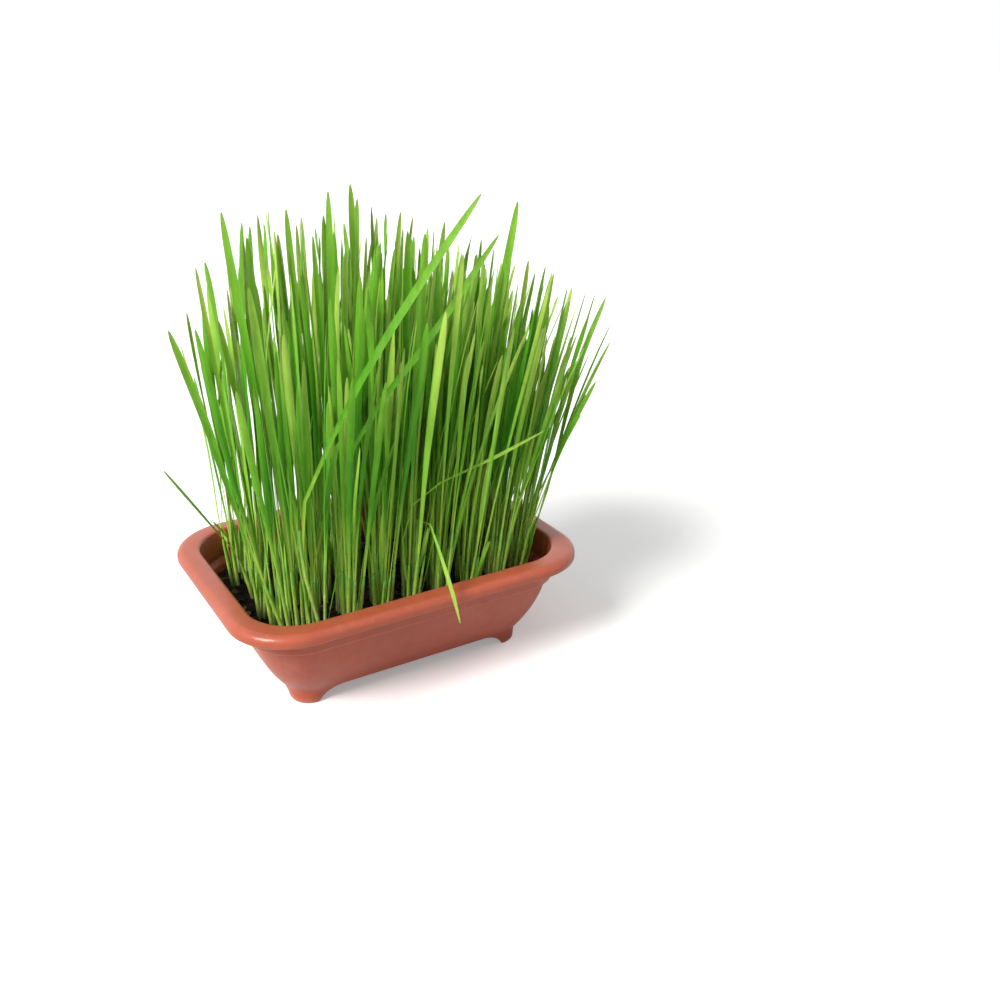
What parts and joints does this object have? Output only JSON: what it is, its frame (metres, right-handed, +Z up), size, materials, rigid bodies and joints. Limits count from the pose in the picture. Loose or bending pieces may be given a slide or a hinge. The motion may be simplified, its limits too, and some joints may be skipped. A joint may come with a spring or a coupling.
{
  "type": "wheatgrass tray",
  "caption": "Shallow rectangular plastic tray on four corner feet, filled with potting soil, with a dense stand of tall green wheatgrass",
  "frame": {"origin": "On the ground under the centre of the tray, which is also the centre of the whole as seen from above", "axes": "+Z is up. The tray's long side runs along X and its short side along Y; -Y is the front."},
  "size_m": [0.224, 0.16, 0.2466],
  "materials": {
    "tray": "satin terracotta-coloured moulded plastic",
    "soil": "moist dark potting soil with bark crumbs",
    "grass": "fresh green blades with a soft sheen, paler at the root"
  },
  "bodies": {
    "root": {"tray": "tray", "soil": "soil", "grass_tuft_01": "grass", "grass_tuft_02": "grass", "grass_tuft_03": "grass", "grass_tuft_04": "grass", "grass_tuft_05": "grass", "grass_tuft_06": "grass", "grass_tuft_07": "grass", "grass_tuft_08": "grass", "grass_tuft_09": "grass", "grass_tuft_10": "grass", "grass_tuft_11": "grass", "grass_tuft_12": "grass", "grass_tuft_13": "grass", "grass_tuft_14": "grass", "grass_tuft_15": "grass", "grass_tuft_16": "grass", "grass_tuft_17": "grass", "grass_tuft_18": "grass", "grass_tuft_19": "grass", "grass_tuft_20": "grass", "grass_tuft_21": "grass", "grass_tuft_22": "grass", "grass_tuft_23": "grass", "grass_tuft_24": "grass", "grass_tuft_25": "grass", "grass_tuft_26": "grass", "grass_tuft_27": "grass", "grass_tuft_28": "grass", "grass_tuft_29": "grass", "grass_tuft_30": "grass", "grass_tuft_31": "grass", "grass_tuft_32": "grass", "grass_tuft_33": "grass", "grass_tuft_34": "grass", "grass_tuft_35": "grass", "grass_tuft_36": "grass", "grass_tuft_37": "grass", "grass_tuft_38": "grass", "grass_tuft_39": "grass", "grass_tuft_40": "grass", "grass_tuft_41": "grass", "grass_tuft_42": "grass", "grass_tuft_43": "grass", "grass_tuft_44": "grass", "grass_tuft_45": "grass", "grass_tuft_46": "grass", "grass_tuft_47": "grass", "grass_tuft_48": "grass", "grass_tuft_49": "grass", "grass_tuft_50": "grass", "grass_tuft_51": "grass", "grass_tuft_52": "grass", "grass_tuft_53": "grass", "grass_tuft_54": "grass"}
  },
  "joints": []
}
